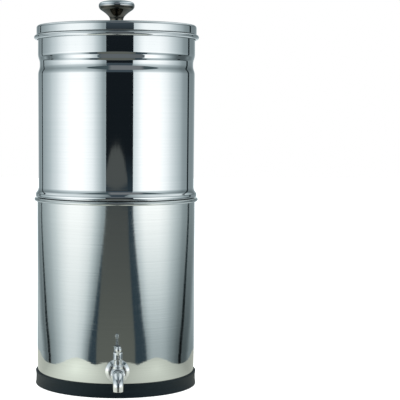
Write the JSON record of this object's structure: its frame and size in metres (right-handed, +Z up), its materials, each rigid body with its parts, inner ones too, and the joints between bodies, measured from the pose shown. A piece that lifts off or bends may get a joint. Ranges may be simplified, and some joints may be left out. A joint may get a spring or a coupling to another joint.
{
  "type": "gravity water filter",
  "caption": "Countertop gravity water filter: stacked steel chambers with a lift-off lid, filter candles between them and a quarter-turn lever tap at the foot.",
  "frame": {"origin": "on the chambers' axis, in the plane of the base ring's underside", "axes": "+Z up along the chambers' axis, -Y towards the tap, +X to the right as seen from the tap side"},
  "size_m": [0.2246, 0.2744, 0.5227],
  "materials": {
    "brushed_steel": "stainless steel sheet, finely brushed around the chamber",
    "polished_steel": "stainless steel sheet, mirror polished",
    "dark_chrome": "dark chrome plated knob",
    "tap_chrome": "polished stainless steel tap parts",
    "steel_hardware": "turned stainless steel",
    "black_rubber": "moulded matt black rubber",
    "grey_silicone": "moulded translucent grey silicone",
    "white_ceramic": "unglazed porous ceramic",
    "carbon_block": "pressed activated carbon block",
    "white_plastic": "moulded food-grade plastic"
  },
  "bodies": {
    "lower_unit": {"lower_chamber": "brushed_steel", "base_ring": "black_rubber", "tap_body": "tap_chrome", "tap_bonnet": "tap_chrome", "spout": "tap_chrome", "tap_outer_washer": "grey_silicone", "tap_inner_washer": "grey_silicone", "tap_lock_nut": "steel_hardware", "stem_seal_lower": "black_rubber", "stem_seal_upper": "black_rubber"},
    "tap_handle": {"tap_lever": "tap_chrome", "valve_plug": "steel_hardware", "lever_screw": "steel_hardware"},
    "upper_unit": {"upper_chamber": "polished_steel", "blanking_plug_front": "grey_silicone", "blanking_plug_back": "grey_silicone", "ceramic_dome_left": "white_ceramic", "carbon_core_left": "carbon_block", "candle_mount_left": "white_plastic", "candle_washer_left": "grey_silicone", "wing_nut_left": "white_plastic", "ceramic_dome_right": "white_ceramic", "carbon_core_right": "carbon_block", "candle_mount_right": "white_plastic", "candle_washer_right": "grey_silicone", "wing_nut_right": "white_plastic"},
    "lid_unit": {"lid": "polished_steel", "lid_knob": "dark_chrome", "knob_screw": "steel_hardware", "knob_washer": "steel_hardware"}
  },
  "joints": [
    {"name": "upper_chamber_lift", "type": "slide", "parent": "lower_unit", "child": "upper_unit", "axis": [0, 0, 1], "range_m": [0, 0.12]},
    {"name": "lid_lift", "type": "slide", "parent": "upper_unit", "child": "lid_unit", "axis": [0, 0, 1], "range_m": [0, 0.06]},
    {"name": "tap_lever_turn", "type": "hinge", "parent": "lower_unit", "child": "tap_handle", "pos_m": [0, -0.131, 0.0594], "axis": [0, 0, 1], "range_deg": [0, 90]}
  ]
}
